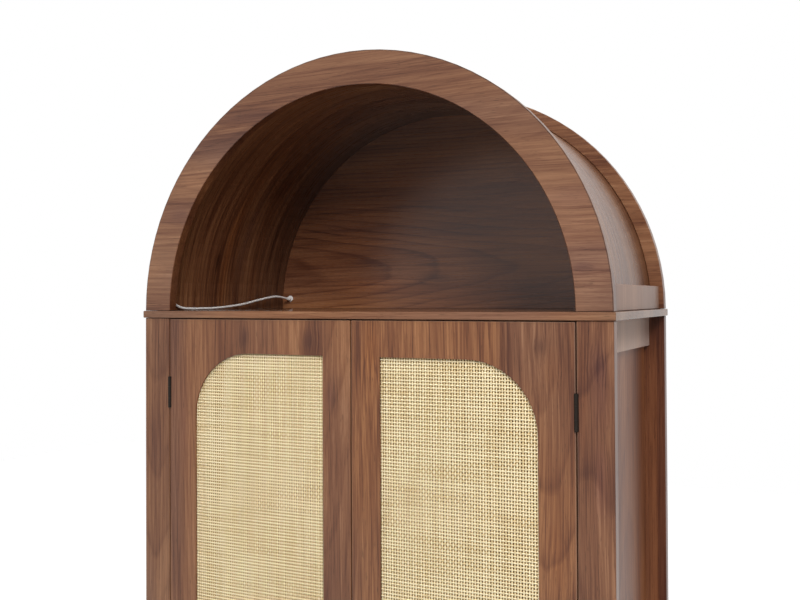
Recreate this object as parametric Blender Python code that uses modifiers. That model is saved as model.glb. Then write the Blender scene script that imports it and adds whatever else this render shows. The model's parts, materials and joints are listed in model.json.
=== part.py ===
"""Arched storage cabinet with two cane-panelled doors, built from its separate boards and fittings.

The cabinet stands on z = 0 with its front towards -Y. A bent niche between two arch rings sits on a
thin board. Below the board, two inset doors close a case with fixed shelves.
All sizes are in metres.
"""

import math

import bmesh
import bpy
from mathutils import Matrix, Vector

# Overall sizes
HEIGHT = 1.800
WIDTH = 0.800
DEPTH = 0.400

# Gap that is left between pieces that touch
SEAT = 0.0003

# Boards of the two frames: arch rings above, stiles below
FRAME_THICKNESS = 0.018
RING_WIDTH = 0.052
STILE_WIDTH = 0.051
EDGE_EASE = 0.0008

# Thin board between the arch and the case
MID_BOARD_THICKNESS = 0.012
MID_BOARD_SIDE_OVERHANG = 0.003
MID_BOARD_FRONT_OVERHANG = 0.003
MID_BOARD_EDGE_ROUND = 0.0015

# Bent sheet of the arch, its groove in the front ring and the panel behind it
VAULT_INSET = 0.022
VAULT_THICKNESS = 0.012
VAULT_GROOVE_DEPTH = 0.006
BACK_PANEL_THICKNESS = 0.005
BACK_PANEL_LAP = 0.010
ARC_STEPS = 48
ARCH_RAIL_HEIGHT = 0.038
ARCH_RAIL_THICKNESS = 0.013

# Pegs in the feet of the rings, which pass through the thin board into the stiles
PEG_RADIUS = 0.004
PEG_DEPTH = 0.025
PEG_SIDES = 12

# Side walls of the case
SIDE_PANEL_THICKNESS = 0.018
SIDE_RAIL_THICKNESS = 0.008
SIDE_RAIL_HEIGHT = 0.050
LEG_CLEARANCE = 0.045
BOTTOM_RAIL_HEIGHT = 0.052
BOTTOM_BOARD_THICKNESS = 0.018
REAR_RAIL_THICKNESS = 0.012

# Shelves, let into grooves in the side panels
SHELF_COUNT = 3
SHELF_THICKNESS = 0.015
SHELF_FRONT_SETBACK = 0.014
SHELF_GROOVE_DEPTH = 0.006

# Doors and their cane windows
SEAM = 0.002
DOOR_TOP_GAP = 0.0018
DOOR_BOTTOM_GAP = 0.0025
DOOR_OUTER_STILE = 0.0530
DOOR_INNER_STILE = 0.0483
DOOR_TOP_RAIL = 0.0554
DOOR_BOTTOM_RAIL = 0.0548
WINDOW_CORNER_RADIUS = 0.105
WINDOW_CORNER_STEPS = 12
WINDOW_LIP = 0.003
CANE_THICKNESS = 0.0015
CANE_LAP = 0.010
CANE_OPENING = 0.0195
CANE_BAR = 0.0205

# Butt hinges, three on each door
HINGE_NAMES = ("top", "middle", "bottom")
HINGE_LENGTH = 0.052
HINGE_END_INSET = 0.1239
HINGE_LEAF_WIDTH = 0.0150
HINGE_LEAF_THICKNESS = 0.0012
KNUCKLE_RADIUS = 0.0028
KNUCKLE_BORE = 0.0014
KNUCKLE_GAP = 0.0004
KNUCKLE_SIDES = 16
DOOR_KNUCKLE_LENGTH = 0.019

# Touch latches under the thin board
LATCH_OFFSET = 0.026
LATCH_WIDTH = 0.014
LATCH_HEIGHT = 0.018
LATCH_LENGTH = 0.060
PLUNGER_RADIUS = 0.0035
PLUNGER_REACH = 0.010
PLUNGER_HELD = 0.014
PLUNGER_TRAVEL = 0.004
STRIKE_RADIUS = 0.0055
STRIKE_THICKNESS = 0.0015
LATCH_SIDES = 16

# Light strip behind the front ring, with its lead and inlet
STRIP_WIDTH = 0.009
STRIP_THICKNESS = 0.0035
STRIP_END_HEIGHT = 0.060
END_CAP_LENGTH = 0.012
END_CAP_THICKNESS = 0.007
LEAD_RADIUS = 0.0021
INLET_WALL_INSET = 0.0184
INLET_HEIGHT = 0.0198
INLET_FLANGE_RADIUS = 0.0062
INLET_FLANGE_THICKNESS = 0.003
INLET_BARREL_RADIUS = 0.004
PLUG_RADIUS = 0.0042
PLUG_LENGTH = 0.009
PLUG_NOSE_RADIUS = 0.0027
TURNED_STEPS = 16

# Route of the lead between its two ends: distance from the left wall of the vault at its foot,
# distance behind the front ring and height above the thin board
LEAD_ROUTE = (
    (0.0049, 0.0056, 0.0370),
    (0.0040, 0.0068, 0.0272),
    (0.0038, 0.0096, 0.0188),
    (0.0042, 0.0144, 0.0119),
    (0.0049, 0.0222, 0.0071),
    (0.0056, 0.0338, 0.0042),
    (0.0066, 0.0522, 0.0030),
    (0.0077, 0.0770, 0.0028),
    (0.0093, 0.1181, 0.0032),
    (0.0109, 0.1623, 0.0055),
    (0.0124, 0.2005, 0.0087),
    (0.0133, 0.2273, 0.0122),
    (0.0143, 0.2552, 0.0166),
    (0.0157, 0.2915, 0.0217),
    (0.0165, 0.3183, 0.0241),
    (0.0171, 0.3389, 0.0232),
)
LEAD_POINT_SPACING = 0.010

# Places that follow from the sizes above
FRONT = -DEPTH / 2 + MID_BOARD_FRONT_OVERHANG
REAR = DEPTH / 2
FRONT_FRAME_BACK = FRONT + FRAME_THICKNESS
REAR_FRAME_FRONT = REAR - FRAME_THICKNESS
PANEL_FRONT = REAR - BACK_PANEL_THICKNESS
ARCH_RADIUS = WIDTH / 2
ARCH_BASE = HEIGHT - ARCH_RADIUS
MID_BOARD_TOP = ARCH_BASE - SEAT
MID_BOARD_BOTTOM = MID_BOARD_TOP - MID_BOARD_THICKNESS
CASE_TOP = MID_BOARD_BOTTOM - SEAT
STILE_INNER = WIDTH / 2 - STILE_WIDTH
VAULT_OUTER = ARCH_RADIUS - VAULT_INSET
VAULT_INNER = VAULT_OUTER - VAULT_THICKNESS
REAR_RING_INNER = VAULT_OUTER + SEAT
REBATE_RADIUS = REAR_RING_INNER + BACK_PANEL_LAP
FLOOR_TOP = LEG_CLEARANCE + BOTTOM_RAIL_HEIGHT
DOOR_TOP = MID_BOARD_BOTTOM - DOOR_TOP_GAP
DOOR_BOTTOM = FLOOR_TOP + DOOR_BOTTOM_GAP
DOOR_OUTER = STILE_INNER - SEAM
DOOR_INNER = SEAM / 2
DOOR_BACK = FRONT_FRAME_BACK
HINGE_AXIS_X = STILE_INNER - SEAM / 2
INLET_X = INLET_WALL_INSET - VAULT_INNER
CUT_OVERRUN = 0.010

SIDES = {"left": -1, "right": 1}
AXIS_TURNS = {
    "X": Matrix.Rotation(math.pi / 2, 4, "Y"),
    "Y": Matrix.Rotation(-math.pi / 2, 4, "X"),
    "Z": Matrix.Identity(4),
}


# Scene, materials and placing

def start_scene():
    """Empty the scene and make one collection for the pieces and one for the cutters."""
    for item in list(bpy.data.objects):
        bpy.data.objects.remove(item)
    collections = []
    for name in ("arched_cane_cabinet", "cutters"):
        collection = bpy.data.collections.new(name)
        bpy.context.scene.collection.children.link(collection)
        collections.append(collection)
    return collections


def make_finish(name, colour, roughness, metallic=0.0):
    finish = bpy.data.materials.new(name)
    finish.use_nodes = True
    shader = finish.node_tree.nodes["Principled BSDF"]
    shader.inputs["Base Color"].default_value = (*colour, 1.0)
    shader.inputs["Roughness"].default_value = roughness
    shader.inputs["Metallic"].default_value = metallic
    return finish


PIECES, CUTTERS = start_scene()
WALNUT = make_finish("walnut", (0.24, 0.12, 0.065), 0.38)
PANEL = make_finish("walnut_panel", (0.19, 0.09, 0.05), 0.42)
CANE = make_finish("cane", (0.80, 0.66, 0.40), 0.6)
BLACK_METAL = make_finish("black_metal", (0.015, 0.014, 0.013), 0.4, 1.0)
STEEL = make_finish("steel", (0.55, 0.55, 0.56), 0.3, 1.0)
WHITE_PLASTIC = make_finish("white_plastic", (0.82, 0.81, 0.78), 0.35)
DARK_PLASTIC = make_finish("dark_plastic", (0.05, 0.045, 0.04), 0.45)


def add_piece(name, mesh, finish, location=(0, 0, 0), pivot=None):
    """Place a mesh as a named piece, on its pivot's axis where it has one."""
    piece = bpy.data.objects.new(name, mesh)
    PIECES.objects.link(piece)
    mesh.materials.append(finish)
    mesh.shade_smooth()
    mesh.set_sharp_from_angle(angle=math.radians(30))
    piece.location = location
    if pivot is not None:
        piece.parent = pivot
        piece.location = Vector(location) - pivot.location
    return piece


def add_cutter(name, mesh):
    cutter = bpy.data.objects.new(name, mesh)
    CUTTERS.objects.link(cutter)
    cutter.hide_render = True
    cutter.display_type = "WIRE"
    return cutter


def add_pivot(name, location):
    pivot = bpy.data.objects.new(name, None)
    PIECES.objects.link(pivot)
    pivot.location = location
    return pivot


def on_pivot(piece, pivot):
    """Hang a piece that is already in place on a pivot, and put its origin there."""
    piece.data.transform(Matrix.Translation(-pivot.location))
    piece.parent = pivot
    return piece


# Shapes

def mesh_from(name, shape):
    mesh = bpy.data.meshes.new(name)
    shape.to_mesh(mesh)
    shape.free()
    return mesh


def boxes_mesh(name, boxes):
    """One mesh of separate boxes, each given by its lowest and highest corner."""
    shape = bmesh.new()
    for low, high in boxes:
        low, high = Vector(low), Vector(high)
        size = Matrix.Diagonal((*(high - low), 1.0))
        bmesh.ops.create_cube(shape, size=1.0, matrix=Matrix.Translation((low + high) / 2) @ size)
    return mesh_from(name, shape)


def rods_mesh(name, rods, radius, axis, sides):
    """One mesh of separate round rods, each given by its middle and its length along the axis."""
    shape = bmesh.new()
    for middle, length in rods:
        bmesh.ops.create_cone(
            shape,
            cap_ends=True,
            segments=sides,
            radius1=radius,
            radius2=radius,
            depth=length,
            matrix=Matrix.Translation(middle) @ AXIS_TURNS[axis],
        )
    return mesh_from(name, shape)


def outline_mesh(name, outlines, y_front, y_back):
    """Extrude flat outlines of (x, z) points from y_front to y_back. An inner outline is a hole."""
    curve = bpy.data.curves.new(name, "CURVE")
    curve.dimensions = "2D"
    curve.fill_mode = "BOTH"
    curve.extrude = (y_back - y_front) / 2
    for points in outlines:
        spline = curve.splines.new("POLY")
        spline.points.add(len(points) - 1)
        for point, (x, z) in zip(spline.points, points):
            point.co = (x, z, 0.0, 1.0)
        spline.use_cyclic_u = True
    flat = bpy.data.objects.new(name + "_outline", curve)
    CUTTERS.objects.link(flat)
    middle = Matrix.Translation((0, (y_front + y_back) / 2, 0))
    flat.matrix_world = middle @ Matrix.Rotation(math.pi / 2, 4, "X")
    shape = curve_shape(flat)
    return mesh_from(name, shape)


def curve_shape(flat):
    """Turn a curve object into a closed shape in world space and remove the curve."""
    depsgraph = bpy.context.evaluated_depsgraph_get()
    mesh = bpy.data.meshes.new_from_object(flat.evaluated_get(depsgraph))
    mesh.transform(flat.matrix_world)
    shape = bmesh.new()
    shape.from_mesh(mesh)
    bmesh.ops.remove_doubles(shape, verts=shape.verts, dist=0.00001)
    bmesh.ops.recalc_face_normals(shape, faces=shape.faces)
    bpy.data.objects.remove(flat)
    bpy.data.meshes.remove(mesh)
    return shape


def arc(radius, start, end, steps):
    turn = (end - start) / steps
    return [
        (radius * math.cos(start + turn * step), radius * math.sin(start + turn * step))
        for step in range(steps + 1)
    ]


def band(inner, outer, start=0.0, end=math.pi):
    """Outline of a stretch of an arch between two radii, above the arch's base."""
    steps = max(1, round(ARC_STEPS * (end - start) / math.pi))
    points = arc(outer, start, end, steps) + arc(inner, end, start, steps)
    return [(x, z + ARCH_BASE) for x, z in points]


def half_disc(radius):
    return [(x, z + ARCH_BASE) for x, z in arc(radius, 0.0, math.pi, ARC_STEPS)]


def turned_piece(name, profile, finish, location, pivot=None):
    """Turn a profile of (radius, length) points about the Y axis. It runs from the rear end forwards."""
    shape = bmesh.new()
    corners = [shape.verts.new((radius, 0.0, length)) for radius, length in profile]
    for first, second in zip(corners, corners[1:]):
        shape.edges.new((first, second))
    piece = add_piece(name, mesh_from(name, shape), finish, location, pivot)
    piece.rotation_euler = AXIS_TURNS["Y"].to_euler()
    screw = piece.modifiers.new("turn", "SCREW")
    screw.steps = TURNED_STEPS
    screw.render_steps = TURNED_STEPS
    screw.use_merge_vertices = True
    screw.merge_threshold = 0.00001
    return piece


# Changes to a shape

def ease_edges(piece, width=EDGE_EASE, segments=1):
    bevel = piece.modifiers.new("eased_edges", "BEVEL")
    bevel.width = width
    bevel.segments = segments
    bevel.limit_method = "ANGLE"
    bevel.angle_limit = math.radians(40)


def combine(piece, cutter, operation, solver="EXACT"):
    change = piece.modifiers.new(cutter.name, "BOOLEAN")
    change.operation = operation
    change.solver = solver
    change.object = cutter


def cut(piece, *cutters):
    for cutter in cutters:
        combine(piece, cutter, "DIFFERENCE")


def add_board(name, low, high, finish=WALNUT, pivot=None):
    middle = (Vector(low) + Vector(high)) / 2
    mesh = boxes_mesh(name, [(Vector(low) - middle, Vector(high) - middle)])
    board = add_piece(name, mesh, finish, middle, pivot)
    ease_edges(board)
    return board


def across(side, inner, outer):
    """Lowest and highest x of a stretch between two distances from the middle, on one side."""
    return sorted((side * inner, side * outer))


# Arch

def build_arch(pegs):
    ring_outline = band(ARCH_RADIUS - RING_WIDTH, ARCH_RADIUS)
    front_ring = add_piece(
        "front_arch_ring",
        outline_mesh("front_arch_ring", [ring_outline], FRONT, FRONT_FRAME_BACK),
        WALNUT,
    )
    ease_edges(front_ring)
    groove_front = FRONT_FRAME_BACK - VAULT_GROOVE_DEPTH
    groove_band = band(VAULT_INNER - SEAT, VAULT_OUTER + SEAT)
    groove_reach = [(x, z - CUT_OVERRUN) for x, z in (groove_band[ARC_STEPS], groove_band[ARC_STEPS + 1])]
    groove_return = [(x, z - CUT_OVERRUN) for x, z in (groove_band[-1], groove_band[0])]
    groove_outline = (
        groove_band[: ARC_STEPS + 1] + groove_reach + groove_band[ARC_STEPS + 1:] + groove_return
    )
    groove = add_cutter(
        "vault_groove",
        outline_mesh("vault_groove", [groove_outline], groove_front, FRONT_FRAME_BACK + CUT_OVERRUN),
    )
    combine(front_ring, groove, "DIFFERENCE", "MANIFOLD")
    combine(front_ring, pegs["front"], "UNION", "MANIFOLD")

    add_piece(
        "arch_vault",
        outline_mesh("arch_vault", [band(VAULT_INNER, VAULT_OUTER)], groove_front + SEAT, PANEL_FRONT - SEAT),
        PANEL,
    )

    rear_ring = add_piece(
        "rear_arch_ring",
        outline_mesh("rear_arch_ring", [band(REAR_RING_INNER, ARCH_RADIUS)], REAR_FRAME_FRONT, REAR),
        WALNUT,
    )
    ease_edges(rear_ring)
    seat_outline = half_disc(REBATE_RADIUS) + [
        (-REBATE_RADIUS, ARCH_BASE - CUT_OVERRUN),
        (REBATE_RADIUS, ARCH_BASE - CUT_OVERRUN),
    ]
    panel_seat = add_cutter(
        "arch_panel_seat",
        outline_mesh("arch_panel_seat", [seat_outline], PANEL_FRONT - SEAT, REAR + CUT_OVERRUN),
    )
    combine(rear_ring, panel_seat, "DIFFERENCE", "MANIFOLD")
    combine(rear_ring, pegs["rear"], "UNION", "MANIFOLD")

    back_panel = add_piece(
        "arch_back_panel",
        outline_mesh("arch_back_panel", [half_disc(REBATE_RADIUS - SEAT)], PANEL_FRONT, REAR),
        PANEL,
    )

    for name, side in SIDES.items():
        x_low, x_high = across(side, VAULT_OUTER + SEAT, VAULT_OUTER + SEAT + ARCH_RAIL_THICKNESS)
        add_board(
            "arch_side_rail_" + name,
            (x_low, FRONT_FRAME_BACK + SEAT, ARCH_BASE),
            (x_high, REAR_FRAME_FRONT - SEAT, ARCH_BASE + ARCH_RAIL_HEIGHT),
        )
    return back_panel


def build_mid_board(peg_holes):
    half_width = WIDTH / 2 + MID_BOARD_SIDE_OVERHANG
    low = Vector((-half_width, -DEPTH / 2, MID_BOARD_BOTTOM))
    high = Vector((half_width, REAR, MID_BOARD_TOP))
    board = add_piece("mid_board", boxes_mesh("mid_board", [(low, high)]), WALNUT)
    ease_edges(board, MID_BOARD_EDGE_ROUND, 2)
    cut(board, peg_holes)


def build_pegs():
    """Pegs for the feet of each ring, and the holes for them in the board and the stiles."""
    length = ARCH_BASE - CASE_TOP + 2 * PEG_DEPTH
    middle_z = (ARCH_BASE + CASE_TOP) / 2
    places = {
        "front": (ARCH_RADIUS - RING_WIDTH / 2, (FRONT + FRONT_FRAME_BACK - VAULT_GROOVE_DEPTH) / 2),
        "rear": ((REAR_RING_INNER + ARCH_RADIUS) / 2, (REAR_FRAME_FRONT + PANEL_FRONT) / 2),
    }
    pegs = {}
    holes = []
    for row, (x, y) in places.items():
        middles = [(side * x, y, middle_z) for side in SIDES.values()]
        rods = [(middle, length - 2 * SEAT) for middle in middles]
        holes += [(middle, length) for middle in middles]
        name = row + "_ring_pegs"
        pegs[row] = add_cutter(name, rods_mesh(name, rods, PEG_RADIUS, "Z", PEG_SIDES))
    peg_holes = add_cutter("peg_holes", rods_mesh("peg_holes", holes, PEG_RADIUS + SEAT, "Z", PEG_SIDES))
    return pegs, peg_holes


# Light strip and lead

def build_light(back_panel):
    strip_outer = VAULT_INNER - SEAT
    strip_inner = strip_outer - STRIP_THICKNESS
    strip_front = FRONT_FRAME_BACK + SEAT
    strip_back = strip_front + STRIP_WIDTH
    end_turn = math.asin(STRIP_END_HEIGHT / strip_outer)
    add_piece(
        "led_strip",
        outline_mesh(
            "led_strip",
            [band(strip_inner, strip_outer, end_turn, math.pi - end_turn)],
            strip_front,
            strip_back,
        ),
        WHITE_PLASTIC,
    )
    cap_start = math.pi - end_turn + SEAT / strip_outer
    cap_end = cap_start + END_CAP_LENGTH / strip_outer
    cap_inner = strip_outer - END_CAP_THICKNESS
    cap_outline = band(cap_inner, strip_outer, cap_start, cap_end)
    add_piece(
        "led_end_cap",
        outline_mesh("led_end_cap", [cap_outline], strip_front, strip_back),
        WHITE_PLASTIC,
    )

    exit_radius = (cap_inner + strip_outer) / 2
    exit_turn = cap_end + SEAT / exit_radius
    lead_start = Vector((
        exit_radius * math.cos(exit_turn),
        (strip_front + strip_back) / 2,
        exit_radius * math.sin(exit_turn) + ARCH_BASE,
    ))
    inlet_z = MID_BOARD_TOP + INLET_HEIGHT
    flange_front = PANEL_FRONT - SEAT - INLET_FLANGE_THICKNESS
    plug_back = flange_front - SEAT
    lead_end = Vector((INLET_X, plug_back - PLUG_LENGTH - SEAT, inlet_z))
    build_lead(lead_start, lead_end)

    turned_piece(
        "lead_plug",
        [
            (0.0, PLUG_LENGTH),
            (PLUG_RADIUS, PLUG_LENGTH),
            (PLUG_RADIUS, PLUG_LENGTH / 2),
            (PLUG_NOSE_RADIUS, 0.0),
            (0.0, 0.0),
        ],
        WHITE_PLASTIC,
        (INLET_X, plug_back - PLUG_LENGTH, inlet_z),
    )
    barrel_end = INLET_FLANGE_THICKNESS + SEAT + BACK_PANEL_THICKNESS
    turned_piece(
        "lead_inlet",
        [
            (0.0, barrel_end),
            (INLET_BARREL_RADIUS, barrel_end),
            (INLET_BARREL_RADIUS, INLET_FLANGE_THICKNESS),
            (INLET_FLANGE_RADIUS, INLET_FLANGE_THICKNESS),
            (INLET_FLANGE_RADIUS, INLET_FLANGE_THICKNESS / 2),
            (INLET_FLANGE_RADIUS - INLET_FLANGE_THICKNESS / 2, 0.0),
            (0.0, 0.0),
        ],
        WHITE_PLASTIC,
        (INLET_X, flange_front, inlet_z),
    )
    hole = [((INLET_X, (PANEL_FRONT + REAR) / 2, inlet_z), BACK_PANEL_THICKNESS + 2 * CUT_OVERRUN)]
    inlet_hole = add_cutter(
        "inlet_hole",
        rods_mesh("inlet_hole", hole, INLET_BARREL_RADIUS + SEAT, "Y", TURNED_STEPS),
    )
    cut(back_panel, inlet_hole)


def smooth_points(stops, spacing):
    """Points along a smooth curve through the stops, about one spacing apart."""
    padded = [2 * stops[0] - stops[1], *stops, 2 * stops[-1] - stops[-2]]
    points = [stops[0]]
    for before, start, end, after in zip(padded, padded[1:], padded[2:], padded[3:]):
        count = max(1, round((end - start).length / spacing))
        for step in range(1, count + 1):
            t = step / count
            points.append(0.5 * (
                2 * start
                + (end - before) * t
                + (2 * before - 5 * start + 4 * end - after) * t ** 2
                + (3 * start - before - 3 * end + after) * t ** 3
            ))
    return points


def build_lead(start, end):
    stops = [start]
    for inset, behind, height in LEAD_ROUTE:
        stops.append(Vector((inset - VAULT_INNER, FRONT_FRAME_BACK + behind, MID_BOARD_TOP + height)))
    stops.append(end)
    curve = bpy.data.curves.new("led_lead", "CURVE")
    curve.dimensions = "3D"
    curve.bevel_depth = LEAD_RADIUS
    curve.bevel_resolution = 2
    curve.use_fill_caps = True
    points = smooth_points(stops, LEAD_POINT_SPACING)
    spline = curve.splines.new("POLY")
    spline.points.add(len(points) - 1)
    for place, point in zip(spline.points, points):
        place.co = (*point, 1.0)
    curve.materials.append(WHITE_PLASTIC)
    lead = bpy.data.objects.new("led_lead", curve)
    PIECES.objects.link(lead)


# Case

def build_case(peg_holes):
    rail_y = (FRONT_FRAME_BACK + SEAT, REAR_FRAME_FRONT - SEAT)
    panel_outer = STILE_INNER + SIDE_PANEL_THICKNESS
    rail_inner = panel_outer + SEAT
    rail_outer = rail_inner + SIDE_RAIL_THICKNESS
    lap_outer = STILE_INNER + BACK_PANEL_LAP
    laps = []
    stiles = {}
    side_panels = {}
    for name, side in SIDES.items():
        x_low, x_high = across(side, STILE_INNER, WIDTH / 2)
        stiles["front_" + name] = add_board(
            "front_stile_" + name, (x_low, FRONT, 0.0), (x_high, FRONT_FRAME_BACK, CASE_TOP)
        )
        stiles["rear_" + name] = add_board(
            "rear_stile_" + name, (x_low, REAR_FRAME_FRONT, 0.0), (x_high, REAR, CASE_TOP)
        )
        lap_low, lap_high = across(side, STILE_INNER - CUT_OVERRUN, lap_outer)
        laps.append((
            (lap_low, PANEL_FRONT - SEAT, LEG_CLEARANCE - SEAT),
            (lap_high, REAR + CUT_OVERRUN, CASE_TOP + CUT_OVERRUN),
        ))
        x_low, x_high = across(side, STILE_INNER, panel_outer)
        side_panels[name] = add_board(
            "side_panel_" + name, (x_low, rail_y[0], LEG_CLEARANCE), (x_high, rail_y[1], CASE_TOP), PANEL
        )
        x_low, x_high = across(side, rail_inner, rail_outer)
        add_board(
            "side_top_rail_" + name,
            (x_low, rail_y[0], CASE_TOP - SIDE_RAIL_HEIGHT),
            (x_high, rail_y[1], CASE_TOP),
        )
        add_board(
            "side_bottom_rail_" + name,
            (x_low, rail_y[0], LEG_CLEARANCE),
            (x_high, rail_y[1], LEG_CLEARANCE + SIDE_RAIL_HEIGHT),
        )
    panel_laps = add_cutter("case_panel_laps", boxes_mesh("case_panel_laps", laps))
    for name in SIDES:
        cut(stiles["front_" + name], peg_holes)
        cut(stiles["rear_" + name], peg_holes, panel_laps)

    back_half = lap_outer - SEAT
    add_piece(
        "lower_back_panel",
        boxes_mesh(
            "lower_back_panel",
            [((-back_half, PANEL_FRONT, LEG_CLEARANCE), (back_half, REAR, CASE_TOP))],
        ),
        PANEL,
    )
    inside = STILE_INNER - SEAT
    add_board("front_bottom_rail", (-inside, FRONT, LEG_CLEARANCE), (inside, FRONT_FRAME_BACK, FLOOR_TOP))
    rail_back = PANEL_FRONT - SEAT
    add_board(
        "rear_bottom_rail",
        (-inside, rail_back - REAR_RAIL_THICKNESS, LEG_CLEARANCE),
        (inside, rail_back, FLOOR_TOP - BOTTOM_BOARD_THICKNESS - SEAT),
        PANEL,
    )
    return stiles, side_panels


def build_shelves(side_panels):
    """Bottom board and shelves, with their ends in grooves and their rear corners cut round the stiles."""
    half = STILE_INNER + SHELF_GROOVE_DEPTH - SEAT
    rear = PANEL_FRONT - SEAT
    corners = []
    for side in SIDES.values():
        x_low, x_high = across(side, STILE_INNER - SEAT, STILE_INNER + STILE_WIDTH)
        corners.append(((x_low, REAR_FRAME_FRONT - SEAT, 0.0), (x_high, REAR + CUT_OVERRUN, HEIGHT)))
    stile_corners = add_cutter("stile_corners", boxes_mesh("stile_corners", corners))

    step = (MID_BOARD_BOTTOM - FLOOR_TOP) / (SHELF_COUNT + 1)
    boards = [("bottom_board", FRONT_FRAME_BACK + SEAT, FLOOR_TOP - BOTTOM_BOARD_THICKNESS, FLOOR_TOP)]
    for number in range(1, SHELF_COUNT + 1):
        bottom = FLOOR_TOP + number * step - SHELF_THICKNESS / 2
        front = FRONT_FRAME_BACK + SHELF_FRONT_SETBACK
        boards.append(("shelf_" + str(number), front, bottom, bottom + SHELF_THICKNESS))
    for name, front, bottom, top in boards:
        board = add_board(name, (-half, front, bottom), (half, rear, top), PANEL)
        cut(board, stile_corners)

    for name, side in SIDES.items():
        x_low, x_high = across(side, STILE_INNER - CUT_OVERRUN, STILE_INNER + SHELF_GROOVE_DEPTH)
        grooves = [
            ((x_low, front - SEAT, bottom - SEAT), (x_high, REAR, top + SEAT))
            for board_name, front, bottom, top in boards
        ]
        shelf_grooves = add_cutter(
            "shelf_grooves_" + name, boxes_mesh("shelf_grooves_" + name, grooves)
        )
        cut(side_panels[name], shelf_grooves)


# Doors

def window_edges(grow):
    """Inner, outer, bottom and top edge of a door's window, made larger all round by grow."""
    inner = DOOR_INNER + DOOR_INNER_STILE - grow
    outer = DOOR_OUTER - DOOR_OUTER_STILE + grow
    bottom = DOOR_BOTTOM + DOOR_BOTTOM_RAIL - grow
    top = DOOR_TOP - DOOR_TOP_RAIL + grow
    return inner, outer, bottom, top


def window_outline(side, grow):
    """Window of a door, with round corners on its hinge side, made larger all round by grow."""
    inner, outer, bottom, top = window_edges(grow)
    radius = WINDOW_CORNER_RADIUS + grow
    points = [(inner, bottom), (inner, top)]
    for centre_z, start, end in (
        (top - radius, math.pi / 2, 0.0),
        (bottom + radius, 0.0, -math.pi / 2),
    ):
        corner = arc(radius, start, end, WINDOW_CORNER_STEPS)
        points += [(outer - radius + x, centre_z + z) for x, z in corner]
    return [(side * x, z) for x, z in points]


def centred_places(start, end, pitch):
    """As many places, one pitch apart, as fit between two edges, centred between them."""
    count = int((end - start) // pitch)
    first = (start + end - (count - 1) * pitch) / 2
    return [first + number * pitch for number in range(count)]


def cane_openings(side):
    """Square openings of the cane in rows and columns, without those that reach into a round corner."""
    inner, outer, bottom, top = window_edges(0.0)
    pitch = CANE_OPENING + CANE_BAR
    half = CANE_OPENING / 2
    radius = WINDOW_CORNER_RADIUS
    openings = []
    for x in centred_places(inner, outer, pitch):
        for z in centred_places(bottom, top, pitch):
            past_x = max(0.0, x + half - (outer - radius))
            past_z = max(0.0, z + half - (top - radius), bottom + radius - (z - half))
            if math.hypot(past_x, past_z) < radius:
                corners = ((-half, -half), (half, -half), (half, half), (-half, half))
                openings.append([(side * (x + across_x), z + up) for across_x, up in corners])
    return openings


def build_door(name, side, pivot):
    x_low, x_high = across(side, DOOR_INNER, DOOR_OUTER)
    low = (x_low, FRONT, DOOR_BOTTOM)
    high = (x_high, DOOR_BACK, DOOR_TOP)
    door = add_board("door_board_" + name, low, high, WALNUT, pivot)
    lip_back = FRONT + WINDOW_LIP
    cut_back = DOOR_BACK + CUT_OVERRUN
    opening = window_outline(side, 0.0)
    window = add_cutter(
        "window_" + name,
        outline_mesh("window_" + name, [opening], FRONT - CUT_OVERRUN, cut_back),
    )
    cane_seat = add_cutter(
        "cane_seat_" + name,
        outline_mesh("cane_seat_" + name, [window_outline(side, CANE_LAP)], lip_back, cut_back),
    )
    cut(door, window, cane_seat)

    edge = window_outline(side, CANE_LAP - SEAT)
    cane_front = lip_back + SEAT
    cane_back = cane_front + CANE_THICKNESS
    cane_outlines = [edge, *cane_openings(side)]
    cane_mesh = outline_mesh("cane_panel_" + name, cane_outlines, cane_front, cane_back)
    on_pivot(add_piece("cane_panel_" + name, cane_mesh, CANE), pivot)
    bead_mesh = outline_mesh("cane_bead_" + name, [edge, opening], cane_back + SEAT, DOOR_BACK)
    on_pivot(add_piece("cane_bead_" + name, bead_mesh, WALNUT), pivot)
    return door


def hinge_heights():
    top = DOOR_TOP - HINGE_END_INSET
    bottom = DOOR_BOTTOM + HINGE_END_INSET
    return dict(zip(HINGE_NAMES, (top, (top + bottom) / 2, bottom)))


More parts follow.
